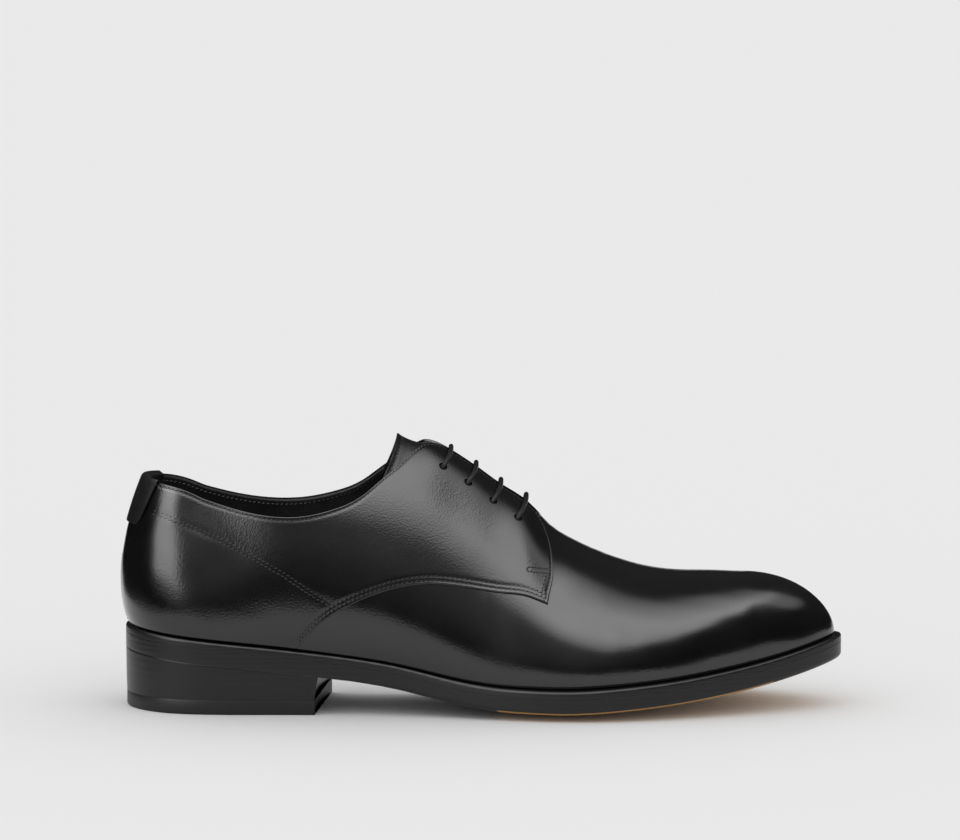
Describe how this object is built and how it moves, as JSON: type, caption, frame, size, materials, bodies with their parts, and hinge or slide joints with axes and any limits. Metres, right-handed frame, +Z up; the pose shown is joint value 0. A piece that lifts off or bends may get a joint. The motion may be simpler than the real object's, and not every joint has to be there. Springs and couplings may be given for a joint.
{
  "type": "derby shoe",
  "caption": "Black leather derby shoe for the right foot with open facings, a plain toe, a welted leather sole and a stacked heel.",
  "frame": {"origin": "on the floor, midway between the back of the heel and the tip of the toe and midway across the shoe", "axes": "+Z up, +X towards the toe, -Y towards the outer side of the foot"},
  "size_m": [0.307, 0.105, 0.116],
  "materials": {
    "upper_leather": "polished black calf",
    "tongue_leather": "polished black calf",
    "tab_leather": "matt black leather",
    "insole_leather": "smooth black lining leather",
    "welt_leather": "waxed black edge",
    "sole_leather": "waxed black edge with a tan underside",
    "heel_leather": "waxed black stacked leather",
    "heel_rubber": "matt black rubber",
    "lace_cord": "round waxed black cord"
  },
  "bodies": {
    "root": {"upper": "upper_leather", "tongue": "tongue_leather", "heel_tab": "tab_leather", "insole": "insole_leather", "welt": "welt_leather", "outsole": "sole_leather", "heel_stack": "heel_leather", "top_piece": "heel_rubber", "lace_bar_1": "lace_cord", "lace_bar_2": "lace_cord", "lace_bar_3": "lace_cord", "lace_bar_4": "lace_cord"}
  },
  "joints": []
}
